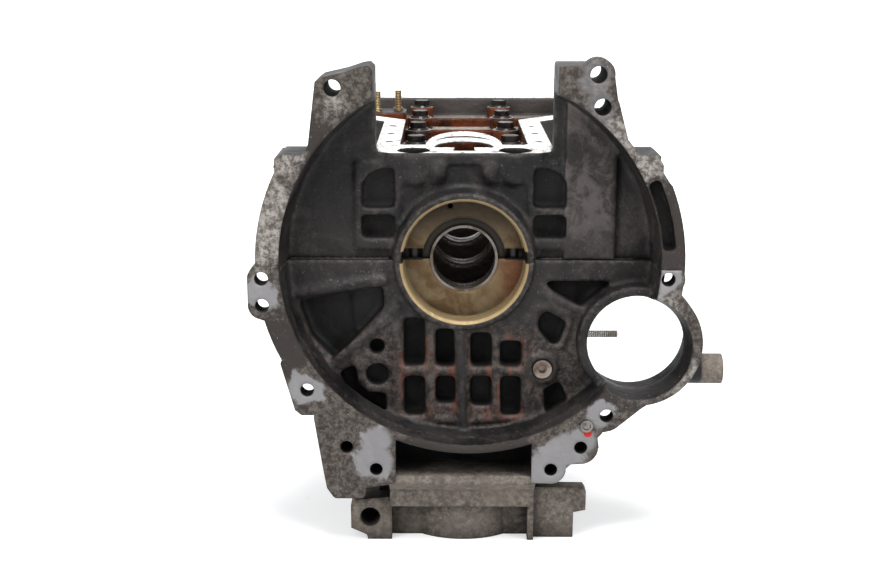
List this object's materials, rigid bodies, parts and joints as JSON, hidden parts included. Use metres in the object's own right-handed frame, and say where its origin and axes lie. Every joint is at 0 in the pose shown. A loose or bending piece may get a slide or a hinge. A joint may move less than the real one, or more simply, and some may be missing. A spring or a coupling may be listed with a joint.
{
  "type": "engine block",
  "caption": "Aluminium engine block with bolted lower crankcase, liners, bearing shells and a bell housing flange, standing upside down on its head face.",
  "frame": {"origin": "on the crank axis, where the straight wall of the rear seal bore begins", "axes": "+Y along the crank axis to the timing end, +Z towards the sump side, +X towards the starter side"},
  "size_m": [0.3746, 0.429, 0.3998],
  "materials": {
    "block_casting": "oily cast aluminium with machined faces",
    "crankcase_casting": "oily cast aluminium with varnish, machined sump face",
    "liner_iron": "honed bore",
    "bearing_steel": "oiled bearing metal",
    "black_steel": "black oxide, oily",
    "dark_steel": "dull, oily",
    "dowel_steel": "ground",
    "plug_steel": "zinc plated, stained",
    "stud_steel": "yellow zinc"
  },
  "bodies": {
    "root": {"cylinder_block": "block_casting", "lower_crankcase": "crankcase_casting", "cylinder_liner_1": "liner_iron", "cylinder_liner_2": "liner_iron", "cylinder_liner_3": "liner_iron", "cylinder_liner_4": "liner_iron", "main_shell_block_1": "bearing_steel", "main_shell_cap_1": "bearing_steel", "main_shell_block_2": "bearing_steel", "main_shell_cap_2": "bearing_steel", "main_shell_block_3": "bearing_steel", "main_shell_cap_3": "bearing_steel", "main_shell_block_4": "bearing_steel", "main_shell_cap_4": "bearing_steel", "main_shell_block_5": "bearing_steel", "main_shell_cap_5": "bearing_steel", "main_bearing_bolts": "black_steel", "split_rail_bolts": "dark_steel", "split_dowels": "dowel_steel", "transmission_dowel": "dowel_steel", "oil_gallery_plug": "plug_steel", "sump_studs": "stud_steel", "side_stud": "stud_steel"}
  },
  "joints": []
}
